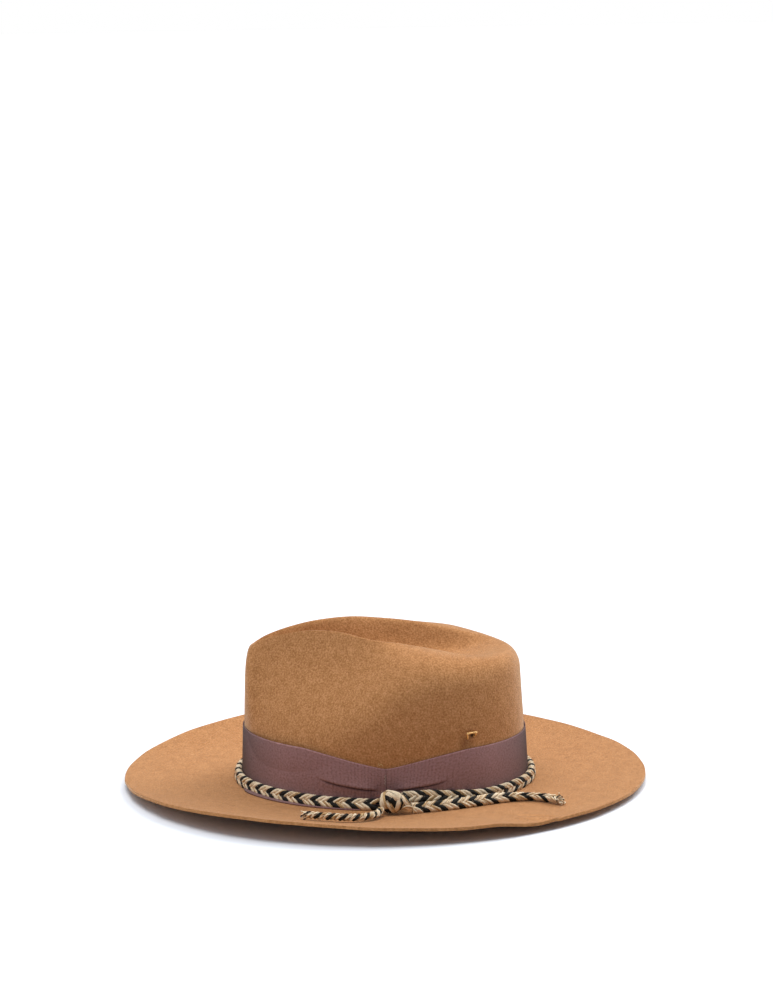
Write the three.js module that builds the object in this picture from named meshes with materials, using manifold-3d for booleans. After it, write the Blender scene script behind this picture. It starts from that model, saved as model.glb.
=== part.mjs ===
// A wide-brimmed felt hat: a pinched teardrop crown, a ribbon round its foot, and a knotted braid.
// Millimetres. The front faces -Y, the wearer's left is +X and +Z is up.
// The origin is under the middle of the brim, on the surface that the hat rests on.
import * as THREE from "three";
import { mergeVertices } from "three/addons/utils/BufferGeometryUtils.js";
import Module from "manifold-3d";

const wasm = await Module();
wasm.setup();

// Felt body, measured over the felt
const FELT_THICKNESS = 2;
const HEAD_LENGTH = 196;
const HEAD_WIDTH = 170;
const CROWN_HEIGHT = 107;
const CROWN_LEAN = 2.2;
const CROWN_BACK_LEAN = 1.5;
const BREAK_RADIUS = 4;
const SEAT_WIDTH = 12;
const BRIM_LENGTH = 359;
const BRIM_WIDTH = 344;
const EDGE_LIFT = 4;
const EDGE_SIDE_LIFT = 7.4;
const EDGE_QUARTER_LIFT = 1.6;
const DENT_FLOOR_HEIGHT = 82;
const DENT_CENTRE_SETBACK = 8;

// Ribbon: a woven band round the foot of the crown, whose seam is drawn down at the knot
const RIBBON_THICKNESS = 1;
const RIBBON_HEIGHT = 35.5;
const RIBBON_CLEARANCE = 0.5;
const RIBBON_FOOT_TURN = 50;
const SEAM_ANGLE = 96.5;
const SEAM_DIP = 9.5;
const SEAM_DIP_SPREAD = 36;
const SEAM_DIP_POWER = 1.6;

// Braid, knot and tails
const BRAID_WIDTH = 9.5;
const BRAID_THICKNESS = 3.8;
const BRAID_TILT = 36;
const BRAID_CLEARANCE = 0.3;
const KNOT_ANGLE = 99;
const KNOT_LENGTH = 22;
const KNOT_DEPTH = 20;
const KNOT_HEIGHT = 15.5;
const KNOT_ROOM = 0.6;
const KNOT_WRAP_DIAMETER = 6;
const FLAT_TAIL_WIDTH = 8.6;
const FLAT_TAIL_THICKNESS = 5.2;
const THIN_TAIL_DIAMETER = 5.2;

// Brass staple in the crown wall
const STAPLE_ANGLE = 132;
const STAPLE_HEIGHT = 48.5;
const STAPLE_WIDTH = 6.6;
const STAPLE_DROP = 4.2;
const STAPLE_STAND = 1.6;
const STAPLE_WIRE = 1.1;

// Facets
const COLUMNS = 64;
const BRAID_STEPS = 56;
const BRAID_SIDES = 10;
const TAIL_SIDES = 8;
const FLAT_TAIL_STEPS = 22;
const THIN_TAIL_STEPS = 16;
const KNOT_SIDES = 16;
const KNOT_RINGS = 10;
const KNOT_WRAP_SIDES = 8;
const STAPLE_STEPS = 14;

// Ridge round the dent, every 15 degrees from the front to the back, the same on both sides:
// out and along are shares of half the head's width and length, up and start of the crown's height.
// Above start the wall leans in to the ridge, as a round shoulder or, by scoop, as the front pinch.
const RIDGE = [
  { out: 0.0, along: -0.925, up: 0.858, start: 0.66, scoop: 0.0 },
  { out: 0.045, along: -0.905, up: 0.872, start: 0.4, scoop: 0.45 },
  { out: 0.09, along: -0.83, up: 0.908, start: 0.22, scoop: 0.95 },
  { out: 0.15, along: -0.69, up: 0.948, start: 0.18, scoop: 1.0 },
  { out: 0.22, along: -0.49, up: 0.985, start: 0.19, scoop: 1.0 },
  { out: 0.32, along: -0.27, up: 0.994, start: 0.27, scoop: 1.0 },
  { out: 0.43, along: -0.05, up: 0.966, start: 0.42, scoop: 0.8 },
  { out: 0.445, along: 0.17, up: 0.946, start: 0.58, scoop: 0.35 },
  { out: 0.425, along: 0.38, up: 0.914, start: 0.66, scoop: 0.0 },
  { out: 0.405, along: 0.58, up: 0.878, start: 0.68, scoop: 0.0 },
  { out: 0.34, along: 0.735, up: 0.852, start: 0.69, scoop: 0.0 },
  { out: 0.2, along: 0.82, up: 0.846, start: 0.7, scoop: 0.0 },
  { out: 0.0, along: 0.852, up: 0.845, start: 0.7, scoop: 0.0 },
];

// Section of the wall above start, as shares of its way in and up to the ridge
const LEAN_SECTION = [
  { shoulderIn: 0.0, shoulderUp: 0.0, scoopIn: 0.0, scoopUp: 0.0 },
  { shoulderIn: 0.012, shoulderUp: 0.18, scoopIn: 0.018, scoopUp: 0.11 },
  { shoulderIn: 0.05, shoulderUp: 0.35, scoopIn: 0.06, scoopUp: 0.21 },
  { shoulderIn: 0.115, shoulderUp: 0.51, scoopIn: 0.15, scoopUp: 0.32 },
  { shoulderIn: 0.205, shoulderUp: 0.655, scoopIn: 0.3, scoopUp: 0.44 },
  { shoulderIn: 0.325, shoulderUp: 0.78, scoopIn: 0.48, scoopUp: 0.56 },
  { shoulderIn: 0.47, shoulderUp: 0.88, scoopIn: 0.655, scoopUp: 0.68 },
  { shoulderIn: 0.64, shoulderUp: 0.95, scoopIn: 0.81, scoopUp: 0.8 },
  { shoulderIn: 0.82, shoulderUp: 0.988, scoopIn: 0.925, scoopUp: 0.91 },
  { shoulderIn: 1.0, shoulderUp: 1.0, scoopIn: 1.0, scoopUp: 1.0 },
];

// Section of the dent inside the ridge, as shares of the way to its centre and down to its floor
const DENT_SECTION = [
  { inward: 0.08, down: 0.06 },
  { inward: 0.18, down: 0.26 },
  { inward: 0.3, down: 0.54 },
  { inward: 0.44, down: 0.79 },
  { inward: 0.6, down: 0.93 },
  { inward: 0.8, down: 0.99 },
];

// Rings of the brim from its edge to the flat seat, as shares of that way
const BRIM_RINGS = [1, 0.84, 0.67, 0.49, 0.3, 0.14, 0];
const BRIM_CURVE = 1.5;

// Rings of the wall below start, as shares of its height
const WALL_RINGS = [0, 0.34, 0.67];

// Turns of the break between brim and wall, in degrees from the flat seat
const BREAK_TURNS = [30, 60];

// Rows of the ribbon from its foot to its top edge, as shares of its height
const RIBBON_ROWS = [0, 0.035, 0.09, 0.28, 0.5, 0.74, 1];

// Routes of the two free tails along the brim
const FLAT_TAIL_ROUTE = [
  [97, 29.5, 5.2],
  [93, 38, 5.0],
  [88.9, 47.2, 5.0],
  [83.6, 57.5, 5.0],
  [77.6, 67.5, 5.0],
  [71.3, 77.2, 5.0],
  [66, 87, 5.0],
  [63, 97, 5.1],
  [63.5, 107, 5.5],
  [68, 116, 6.1],
  [75.5, 124, 7.3],
];
const THIN_TAIL_ROUTE = [
  [106, 10, 6.4],
  [113, 9, 6.3],
  [121, 7, 7.0],
  [129, 3, 8.2],
  [135, -4, 9.1],
  [137, -12, 9.6],
  [136, -21, 9.7],
  [134, -30, 9.7],
  [133, -36, 9.8],
];

// Bends of the staple's wire: across in shares of its half width, out in shares of its reach,
// down in shares of its drop. The first leg is long and slants, the last is short.
const STAPLE_BENDS = [
  { across: -0.8, out: 0.4, down: 1.0 },
  { across: -0.9, out: 1.0, down: 0.55 },
  { across: -1.0, out: 1.0, down: 0.0 },
  { across: 1.0, out: 1.0, down: 0.0 },
  { across: 1.0, out: 0.9, down: 0.25 },
  { across: 1.0, out: 0.4, down: 0.5 },
];

const felt = new THREE.MeshStandardMaterial({ color: 0xc49162, roughness: 0.95, metalness: 0 });
const ribbonCloth = new THREE.MeshStandardMaterial({ color: 0x74585a, roughness: 0.7, metalness: 0 });
const jute = new THREE.MeshStandardMaterial({ color: 0xd9bf99, roughness: 0.9, metalness: 0 });
const brass = new THREE.MeshStandardMaterial({ color: 0xb0813a, roughness: 0.35, metalness: 1 });

const radians = THREE.MathUtils.degToRad;
const lerp = THREE.MathUtils.lerp;

// Smooth value of one column of the ridge at an angle from the front; out changes sign on the right.
function ridgeValue(column, angle) {
  const last = RIDGE.length - 1;
  const place = (angle / 180) * last;
  const row = Math.floor(place);
  const t = place - row;
  const value = (k) => {
    const turn = THREE.MathUtils.euclideanModulo(k, 2 * last);
    const mirrored = turn > last;
    const found = RIDGE[mirrored ? 2 * last - turn : turn][column];
    return mirrored && column === "out" ? -found : found;
  };
  const [a, b, c, d] = [value(row - 1), value(row), value(row + 1), value(row + 2)];
  const bend = 2 * a - 5 * b + 4 * c - d;
  const twist = 3 * (b - c) + d - a;
  return b + 0.5 * t * (c - a + t * (bend + t * twist));
}

// Point of the head oval, moved out of it by an offset.
function ovalPoint(angle, offset, height) {
  const side = Math.sin(radians(angle));
  const front = -Math.cos(radians(angle));
  const out = new THREE.Vector2(side / HEAD_WIDTH, front / HEAD_LENGTH).normalize();
  return new THREE.Vector3(
    (HEAD_WIDTH / 2) * side + out.x * offset,
    (HEAD_LENGTH / 2) * front + out.y * offset,
    height,
  );
}

function brimEdgePoint(angle) {
  const turn = radians(angle);
  const side = EDGE_SIDE_LIFT * Math.sin(turn) ** 2;
  const quarter = EDGE_QUARTER_LIFT * (Math.cos(turn) - Math.cos(3 * turn));
  return new THREE.Vector3(
    (BRIM_WIDTH / 2) * Math.sin(turn),
    (-BRIM_LENGTH / 2) * Math.cos(turn),
    FELT_THICKNESS + EDGE_LIFT + side + quarter,
  );
}

function ridgePoint(angle) {
  return new THREE.Vector3(
    (HEAD_WIDTH / 2) * ridgeValue("out", angle),
    (HEAD_LENGTH / 2) * ridgeValue("along", angle),
    FELT_THICKNESS + CROWN_HEIGHT * ridgeValue("up", angle),
  );
}

// Upper side of the brim at one angle, from its edge to the start of the break.
function brimColumn(angle) {
  const edge = brimEdgePoint(angle);
  const seat = ovalPoint(angle, BREAK_RADIUS + SEAT_WIDTH, FELT_THICKNESS);
  const rings = BRIM_RINGS.map((share) => {
    const point = seat.clone().lerp(edge, share);
    point.z = lerp(seat.z, edge.z, share ** BRIM_CURVE);
    return point;
  });
  return [...rings, ovalPoint(angle, BREAK_RADIUS, FELT_THICKNESS)];
}

// Outer side of the crown's wall at one angle, from the break up to the ridge.
function wallColumn(angle) {
  const ridge = ridgePoint(angle);
  const scoop = THREE.MathUtils.clamp(ridgeValue("scoop", angle), 0, 1);
  const startHeight = FELT_THICKNESS + CROWN_HEIGHT * ridgeValue("start", angle);
  const footHeight = FELT_THICKNESS + BREAK_RADIUS;
  const lean = CROWN_LEAN + CROWN_BACK_LEAN * Math.max(0, -Math.cos(radians(angle)));
  const broken = BREAK_TURNS.map((turn) => {
    const away = BREAK_RADIUS * (1 - Math.sin(radians(turn)));
    const rise = BREAK_RADIUS * (1 - Math.cos(radians(turn)));
    return ovalPoint(angle, away, FELT_THICKNESS + rise);
  });
  const upright = WALL_RINGS.map((share) =>
    ovalPoint(angle, -lean * share, lerp(footHeight, startHeight, share)),
  );
  const start = ovalPoint(angle, -lean, startHeight);
  const leaning = LEAN_SECTION.map((row) => {
    const point = start.clone().lerp(ridge, lerp(row.shoulderIn, row.scoopIn, scoop));
    point.z = lerp(start.z, ridge.z, lerp(row.shoulderUp, row.scoopUp, scoop));
    return point;
  });
  return [...broken, ...upright, ...leaning];
}

const dentCentre = new THREE.Vector3(0, DENT_CENTRE_SETBACK, FELT_THICKNESS + DENT_FLOOR_HEIGHT);

function dentColumn(angle) {
  const ridge = ridgePoint(angle);
  return DENT_SECTION.map((row) => {
    const point = ridge.clone().lerp(dentCentre, row.inward);
    point.z = lerp(ridge.z, dentCentre.z, row.down);
    return point;
  });
}

// Point of the wall at a height, between two rings of its column.
function wallPoint(angle, height) {
  const column = wallColumn(angle);
  const above = Math.max(1, column.findIndex((point) => point.z >= height));
  const low = column[above - 1];
  const high = column[above];
  return low.clone().lerp(high, (height - low.z) / (high.z - low.z));
}

// Skin: one column of points for each angle round the hat, all of the same length.
// A cap point closes it at the end of the columns.
function skinGeometry(columns, cap) {
  const rows = columns[0].length;
  const points = columns.flat();
  const index = [];
  columns.forEach((column, i) => {
    const here = i * rows;
    const next = ((i + 1) % columns.length) * rows;
    for (let j = 0; j + 1 < rows; j += 1) {
      index.push(here + j, next + j, next + j + 1);
      index.push(here + j, next + j + 1, here + j + 1);
    }
    if (cap) index.push(here + rows - 1, next + rows - 1, points.length);
  });
  if (cap) points.push(cap);
  const skin = new THREE.BufferGeometry().setFromPoints(points);
  skin.setIndex(index);
  skin.computeVertexNormals();
  return { skin, rows, columns: columns.length, capped: Boolean(cap) };
}

// Closed wall of cloth or felt between two distances from a skin, measured along its normals.
// The first flatRows points of each column are moved straight up or down instead.
function wallGeometry({ skin, rows, columns, capped }, inner, outer, flatRows = 0) {
  const place = skin.getAttribute("position");
  const normal = skin.getAttribute("normal");
  const moved = (distance) =>
    Array.from({ length: place.count }, (unused, k) => {
      const flat = k % rows < flatRows && k < rows * columns;
      const out = flat
        ? new THREE.Vector3(0, 0, 1)
        : new THREE.Vector3().fromBufferAttribute(normal, k);
      return new THREE.Vector3().fromBufferAttribute(place, k).addScaledVector(out, distance);
    });
  const faces = Array.from(skin.index.array);
  const count = place.count;
  const index = [...faces];
  for (let k = 0; k < faces.length; k += 3) {
    index.push(count + faces[k], count + faces[k + 2], count + faces[k + 1]);
  }
  for (let i = 0; i < columns; i += 1) {
    const here = i * rows;
    const next = ((i + 1) % columns) * rows;
    index.push(here, count + here, count + next, here, count + next, next);
    if (!capped) {
      const [a, b] = [here + rows - 1, next + rows - 1];
      index.push(a, b, count + b, a, count + b, count + a);
    }
  }
  const wall = new THREE.BufferGeometry().setFromPoints([...moved(outer), ...moved(inner)]);
  wall.setIndex(index);
  wall.computeVertexNormals();
  return wall;
}

const ANGLES = Array.from({ length: COLUMNS }, (unused, i) => (360 * i) / COLUMNS);

function feltGeometry() {
  const columns = ANGLES.map((angle) => [
    ...brimColumn(angle),
    ...wallColumn(angle),
    ...dentColumn(angle),
  ]);
  return wallGeometry(skinGeometry(columns, dentCentre), -FELT_THICKNESS, 0, BRIM_RINGS.length + 1);
}

// Height of the ribbon's top edge, which dips to a blunt point at the seam.
function ribbonTop(angle) {
  const away = Math.abs(angle - SEAM_ANGLE) / SEAM_DIP_SPREAD;
  return FELT_THICKNESS + RIBBON_HEIGHT - SEAM_DIP * Math.max(0, 1 - away) ** SEAM_DIP_POWER;
}

function ribbonGeometry() {
  const footRise = BREAK_RADIUS * (1 - Math.cos(radians(RIBBON_FOOT_TURN)));
  const foot = FELT_THICKNESS + footRise;
  const columns = ANGLES.map((angle) =>
    RIBBON_ROWS.map((share) => wallPoint(angle, lerp(foot, ribbonTop(angle), share))),
  );
  return wallGeometry(skinGeometry(columns), RIBBON_CLEARANCE, RIBBON_CLEARANCE + RIBBON_THICKNESS);
}

// Tube with an oval section along a smooth route; the section's first size stands upright,
// or leans by a tilt in degrees. An oval is drawn with two sides for each of its curve segments.
function tubeGeometry(route, upright, across, sides, steps, tilt = 0) {
  const section = new THREE.Shape();
  section.absellipse(0, 0, upright / 2, across / 2, 0, 2 * Math.PI, false, radians(tilt));
  return new THREE.ExtrudeGeometry(section, {
    steps,
    curveSegments: sides / 2,
    extrudePath: new THREE.CatmullRomCurve3(route),
  });
}

// Tail: a tube whose route is a list of [x, y, z] places.
function tailGeometry(places, upright, across, steps) {
  const route = places.map((place) => new THREE.Vector3(...place));
  return tubeGeometry(route, upright, across, TAIL_SIDES, steps);
}

// The braid leans back against the ribbon: half its height and half its depth as it lies.
const braidTurn = radians(BRAID_TILT);
const BRAID_HALF_HEIGHT =
  Math.hypot(BRAID_WIDTH * Math.cos(braidTurn), BRAID_THICKNESS * Math.sin(braidTurn)) / 2;
const BRAID_HALF_DEPTH =
  Math.hypot(BRAID_WIDTH * Math.sin(braidTurn), BRAID_THICKNESS * Math.cos(braidTurn)) / 2;
const BRAID_STANDOFF = RIBBON_CLEARANCE + RIBBON_THICKNESS + BRAID_CLEARANCE + BRAID_HALF_DEPTH;
const BRAID_CENTRE_HEIGHT = FELT_THICKNESS + BRAID_CLEARANCE + BRAID_HALF_HEIGHT;
const knotCentre = ovalPoint(
  KNOT_ANGLE,
  RIBBON_CLEARANCE + RIBBON_THICKNESS + KNOT_ROOM + KNOT_DEPTH / 2,
  FELT_THICKNESS + BRAID_CLEARANCE + KNOT_HEIGHT / 2,
);

// The braid goes once round the foot of the ribbon, from one side of the knot to the other.
function braidGeometry() {
  const perimeter = (Math.PI * (HEAD_LENGTH + HEAD_WIDTH)) / 2;
  const halfGap = (360 * (KNOT_LENGTH / 2 + BRAID_CLEARANCE)) / perimeter;
  const route = Array.from({ length: BRAID_STEPS + 1 }, (unused, i) => {
    const angle = KNOT_ANGLE + halfGap + ((360 - 2 * halfGap) * i) / BRAID_STEPS;
    return ovalPoint(angle, BRAID_STANDOFF, BRAID_CENTRE_HEIGHT);
  });
  return tubeGeometry(route, BRAID_WIDTH, BRAID_THICKNESS, BRAID_SIDES, BRAID_STEPS, -BRAID_TILT);
}

// Geometry to a solid and back, so that two closed shapes can be joined.
function solidOf(geometry) {
  const bare = geometry.clone();
  bare.deleteAttribute("normal");
  bare.deleteAttribute("uv");
  const merged = mergeVertices(bare, 1e-4);
  return new wasm.Manifold(
    new wasm.Mesh({
      numProp: 3,
      vertProperties: merged.getAttribute("position").array,
      triVerts: new Uint32Array(merged.index.array),
    }),
  );
}

function geometryOf(solid) {
  const mesh = solid.getMesh();
  const geometry = new THREE.BufferGeometry();
  geometry.setAttribute("position", new THREE.BufferAttribute(mesh.vertProperties, 3));
  geometry.setIndex(new THREE.BufferAttribute(mesh.triVerts, 1));
  geometry.computeVertexNormals();
  return geometry;
}

// The knot is an egg-shaped lump with one turn of the cord round its waist.
function knotGeometry() {
  const lump = new THREE.SphereGeometry(0.5, KNOT_SIDES, KNOT_RINGS);
  lump.scale(KNOT_DEPTH - KNOT_WRAP_DIAMETER / 3, KNOT_LENGTH, KNOT_HEIGHT - KNOT_WRAP_DIAMETER / 3);
  const wrap = new THREE.TorusGeometry(
    (KNOT_DEPTH - KNOT_WRAP_DIAMETER) / 2,
    KNOT_WRAP_DIAMETER / 2,
    KNOT_WRAP_SIDES,
    KNOT_SIDES,
  );
  wrap.rotateX(Math.PI / 2);
  wrap.scale(1, 1, KNOT_HEIGHT / KNOT_DEPTH);
  return geometryOf(solidOf(lump).add(solidOf(wrap)));
}

// The staple is a bent wire: out of the wall, across, and back into it.
function stapleGeometry() {
  const reach = STAPLE_STAND + STAPLE_WIRE / 2;
  const path = new THREE.CurvePath();
  const corners = STAPLE_BENDS.map(({ across, out, down }) => {
    const x = (across * STAPLE_WIDTH) / 2;
    return new THREE.Vector3(x, out * reach, -down * STAPLE_DROP);
  });
  corners.slice(1).forEach((end, i) => path.add(new THREE.LineCurve3(corners[i], end)));
  const section = new THREE.Shape();
  section.absarc(0, 0, STAPLE_WIRE / 2, 0, 2 * Math.PI);
  return new THREE.ExtrudeGeometry(section, {
    steps: STAPLE_STEPS,
    curveSegments: 3,
    extrudePath: path,
  });
}

function named(name, geometry, material) {
  const mesh = new THREE.Mesh(geometry, material);
  mesh.name = name;
  return mesh;
}

const hat = new THREE.Group();
hat.add(named("felt_body", feltGeometry(), felt));
hat.add(named("ribbon_band", ribbonGeometry(), ribbonCloth));
hat.add(named("braid_loop", braidGeometry(), jute));

const knot = named("braid_knot", knotGeometry(), jute);
knot.position.copy(knotCentre);
knot.rotation.z = Math.atan2(knotCentre.y, knotCentre.x);
hat.add(knot);

const flatTail = tailGeometry(
  FLAT_TAIL_ROUTE,
  FLAT_TAIL_THICKNESS,
  FLAT_TAIL_WIDTH,
  FLAT_TAIL_STEPS,
);
hat.add(named("tail_flat", flatTail, jute));

const thinTail = tailGeometry(
  THIN_TAIL_ROUTE,
  THIN_TAIL_DIAMETER,
  THIN_TAIL_DIAMETER,
  THIN_TAIL_STEPS,
);
hat.add(named("tail_thin", thinTail, jute));

const staple = named("brass_staple", stapleGeometry(), brass);
const hold = wallPoint(STAPLE_ANGLE, STAPLE_HEIGHT);
const facing = Math.atan2(hold.y / HEAD_LENGTH ** 2, hold.x / HEAD_WIDTH ** 2);
staple.position.copy(hold);
staple.rotation.z = facing - Math.PI / 2;
hat.add(staple);

export default hat;
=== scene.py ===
import math
import random

import bmesh
import bpy
import numpy as np
from mathutils import Matrix, Vector, noise


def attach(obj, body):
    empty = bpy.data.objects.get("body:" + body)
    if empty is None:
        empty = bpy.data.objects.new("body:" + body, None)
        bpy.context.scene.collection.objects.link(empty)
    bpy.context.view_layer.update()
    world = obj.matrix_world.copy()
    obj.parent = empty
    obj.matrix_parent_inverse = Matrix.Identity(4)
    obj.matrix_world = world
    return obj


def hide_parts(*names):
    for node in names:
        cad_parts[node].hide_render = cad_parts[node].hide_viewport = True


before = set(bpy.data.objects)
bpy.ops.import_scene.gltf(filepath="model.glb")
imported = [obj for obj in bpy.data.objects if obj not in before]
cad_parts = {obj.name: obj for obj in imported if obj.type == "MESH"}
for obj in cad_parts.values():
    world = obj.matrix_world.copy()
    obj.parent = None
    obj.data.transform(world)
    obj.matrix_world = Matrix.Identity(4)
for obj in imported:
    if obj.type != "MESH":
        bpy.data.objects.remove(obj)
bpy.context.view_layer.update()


# Camera: a long lens two metres off on the wearer's left, a touch behind the side. It looks a
# little down on the hat and is aimed above it, so that the hat sits low in the frame.
CAMERA_TARGET = Vector((0, 0, 0.05))
CAMERA_DISTANCE = 2.0
CAMERA_AZIMUTH = math.radians(97)
CAMERA_ELEVATION = math.radians(13.43)
CAMERA_ROLL = math.radians(-0.945)
CAMERA_AIM_ABOVE = math.radians(4.095)
CAMERA_AIM_RIGHT = math.radians(0.0515)

camera = bpy.data.objects.new("camera", bpy.data.cameras.new("camera"))
camera.data.lens = 104.13
camera.matrix_world = (
    Matrix.Translation(CAMERA_TARGET)
    @ Matrix.Rotation(CAMERA_AZIMUTH, 4, "Z")
    @ Matrix.Rotation(math.pi / 2 - CAMERA_ELEVATION, 4, "X")
    @ Matrix.Rotation(CAMERA_ROLL, 4, "Z")
    @ Matrix.Translation((0, 0, CAMERA_DISTANCE))
    @ Matrix.Rotation(CAMERA_AIM_ABOVE, 4, "X")
    @ Matrix.Rotation(-CAMERA_AIM_RIGHT, 4, "Y")
)
bpy.context.scene.collection.objects.link(camera)
bpy.context.scene.camera = camera


# Jute yarn: single-ply plant fibre, natural straw or dyed black, laid side by side to make the
# strands of the braid. Each yarn is a thin bevelled curve, turned into a mesh with its own UVs.
YARN_RADIUS = 0.00046
YARN_GRAIN = (7.0, 420.0, 1.0)
YARN_UNEVENNESS = (60, 60, 60)


def unit(vectors):
    return vectors / np.linalg.norm(vectors, axis=-1, keepdims=True)


def run_of(line):
    steps = np.linalg.norm(np.diff(line, axis=0), axis=1)
    return np.concatenate([[0], np.cumsum(steps)])


def mesh_of_yarns(name, yarns, materials, radius=YARN_RADIUS, seed=1):
    """One mesh object of many yarns; each yarn is (points, index of its material)."""
    chance = random.Random(seed)
    curve = bpy.data.curves.new(name + "_line", "CURVE")
    curve.dimensions = "3D"
    curve.bevel_depth = radius
    curve.bevel_resolution = 1
    curve.use_fill_caps = True
    for material in materials:
        curve.materials.append(material)
    for points, dye in yarns:
        spline = curve.splines.new("POLY")
        spline.points.add(len(points) - 1)
        spline.points.foreach_set("co", np.c_[points, np.ones(len(points))].ravel())
        swell = [chance.uniform(0.86, 1.12) for _ in points]
        spline.points.foreach_set("radius", swell)
        spline.material_index = dye
    holder = bpy.data.objects.new(name + "_line", curve)
    mesh = bpy.data.meshes.new_from_object(holder)
    bpy.data.objects.remove(holder)
    longest = max(run_of(points)[-1] for points, _ in yarns)
    uv = np.zeros(2 * len(mesh.loops), np.float32)
    mesh.uv_layers[0].data.foreach_get("uv", uv)
    uv[1::2] *= longest
    mesh.uv_layers[0].data.foreach_set("uv", uv)
    mesh.uv_layers[0].name = "yarn"
    made = bpy.data.objects.new(name, mesh)
    bpy.context.scene.collection.objects.link(made)
    return made


def new_material(name):
    material = bpy.data.materials.new(name)
    material.use_nodes = True
    nodes = material.node_tree.nodes
    return material, nodes, material.node_tree.links, nodes["Principled BSDF"]


def colour_steps(nodes, links, value, steps):
    """A colour ramp fed by a value; steps are (position, colour)."""
    ramp = nodes.new("ShaderNodeValToRGB")
    while len(ramp.color_ramp.elements) < len(steps):
        ramp.color_ramp.elements.new(0.5)
    for element, (position, colour) in zip(ramp.color_ramp.elements, steps):
        element.position = position
        element.color = (*colour, 1)
    links.new(value, ramp.inputs["Fac"])
    return ramp.outputs["Color"]


def jute(name, steps, roughness):
    """Fibres that run along the yarn, from its own UVs in metres, and differ from yarn to yarn."""
    material, nodes, links, shader = new_material(name)
    uv = nodes.new("ShaderNodeUVMap")
    uv.uv_map = "yarn"
    lay = nodes.new("ShaderNodeMapping")
    lay.inputs["Scale"].default_value = YARN_GRAIN
    links.new(uv.outputs["UV"], lay.inputs["Vector"])
    place = nodes.new("ShaderNodeTexCoord")
    mixed = nodes.new("ShaderNodeVectorMath")
    mixed.operation = "MULTIPLY_ADD"
    mixed.inputs[1].default_value = YARN_UNEVENNESS
    links.new(place.outputs["Object"], mixed.inputs[0])
    links.new(lay.outputs["Vector"], mixed.inputs[2])
    fibre = nodes.new("ShaderNodeTexNoise")
    fibre.inputs["Scale"].default_value = 1.0
    fibre.inputs["Detail"].default_value = 4
    fibre.inputs["Roughness"].default_value = 0.7
    links.new(mixed.outputs["Vector"], fibre.inputs["Vector"])
    colour = colour_steps(nodes, links, fibre.outputs["Fac"], steps)
    links.new(colour, shader.inputs["Base Color"])
    bump = nodes.new("ShaderNodeBump")
    bump.inputs["Strength"].default_value = 0.5
    bump.inputs["Distance"].default_value = 0.0004
    links.new(fibre.outputs["Fac"], bump.inputs["Height"])
    links.new(bump.outputs["Normal"], shader.inputs["Normal"])
    shader.inputs["Roughness"].default_value = roughness
    shader.inputs["Specular IOR Level"].default_value = 0.3
    return material


natural_jute = jute(
    "natural_jute",
    [(0.32, (0.5, 0.3, 0.12)), (0.46, (0.88, 0.7, 0.46)), (0.6, (0.97, 0.9, 0.74))],
    0.75,
)
black_jute = jute(
    "black_jute",
    [(0.3, (0.004, 0.004, 0.003)), (0.6, (0.012, 0.011, 0.009)), (0.8, (0.04, 0.036, 0.03))],
    0.6,
)
golden_jute = jute(
    "golden_jute",
    [(0.32, (0.3, 0.16, 0.05)), (0.5, (0.6, 0.4, 0.19)), (0.68, (0.85, 0.66, 0.4))],
    0.75,
)
NATURAL, BLACK, GOLDEN = 0, 1, 2
jute_dyes = [natural_jute, black_jute, golden_jute]


# Flat tail: the braid's first end, left hanging out of the knot. It is plaited of two natural
# strands and a black one, runs back along the foot of the loop and ends cut, its strands loose.
FLAT_TAIL_WIDTH = 0.0086
FLAT_TAIL_THICKNESS = 0.0052
FLAT_TAIL_ROUTE = [
    (0.097, 0.0295, 0.0052),
    (0.093, 0.038, 0.005),
    (0.0889, 0.0472, 0.005),
    (0.0836, 0.0575, 0.005),
    (0.0776, 0.0675, 0.005),
    (0.0713, 0.0772, 0.005),
    (0.066, 0.087, 0.005),
    (0.063, 0.097, 0.0051),
    (0.0635, 0.107, 0.0055),
    (0.068, 0.116, 0.0061),
    (0.0755, 0.124, 0.0073),
]
FLAT_TAIL_FACE = [0.8, 0.1, 0.6]

# Taper of the flat tail: metres from the knot, and the share of its width that is left there.
FLAT_TAIL_TAPER = [0, 0.06, 0.085], [0.9, 0.86, 0.52]

# Way of one petal of the braid: across it from behind the edge to past the middle, in shares of
# the width; outward, in shares of the thickness; along, in shares of the lead; and its spread.
PETAL = np.array(
    [
        (0.2, -0.42, -0.3, 0.8),
        (0.42, -0.36, -0.1, 0.9),
        (0.5, -0.02, 0.02, 0.95),
        (0.43, 0.3, 0.18, 1.05),
        (0.28, 0.42, 0.48, 1.1),
        (0.11, 0.43, 0.82, 0.95),
        (-0.02, 0.32, 1.08, 0.75),
        (-0.14, 0.02, 1.32, 0.55),
    ]
)
PETAL_PITCH = 0.00417
PETAL_LEAD = 0.0052


def smooth_route(places, step):
    """Points at an even step along a smooth curve through a few places."""
    places = np.array(places, float)
    ends = np.vstack([2 * places[0] - places[1], places, 2 * places[-1] - places[-2]])
    t = np.linspace(0, 1, 24, endpoint=False)[:, None]
    fine = [
        b + 0.5 * t * (c - a + t * (2 * a - 5 * b + 4 * c - d + t * (3 * (b - c) + d - a)))
        for a, b, c, d in zip(ends, ends[1:], ends[2:], ends[3:])
    ]
    fine = np.vstack([*fine, places[-1:]])
    run = run_of(fine)
    at = np.linspace(0, run[-1], max(2, round(run[-1] / step)) + 1)
    return np.stack([np.interp(at, run, fine[:, k]) for k in range(3)], axis=1)


def straw(chance):
    """Most undyed yarns are pale; one in four is a darker gold."""
    return GOLDEN if chance.random() < 0.26 else NATURAL


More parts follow.
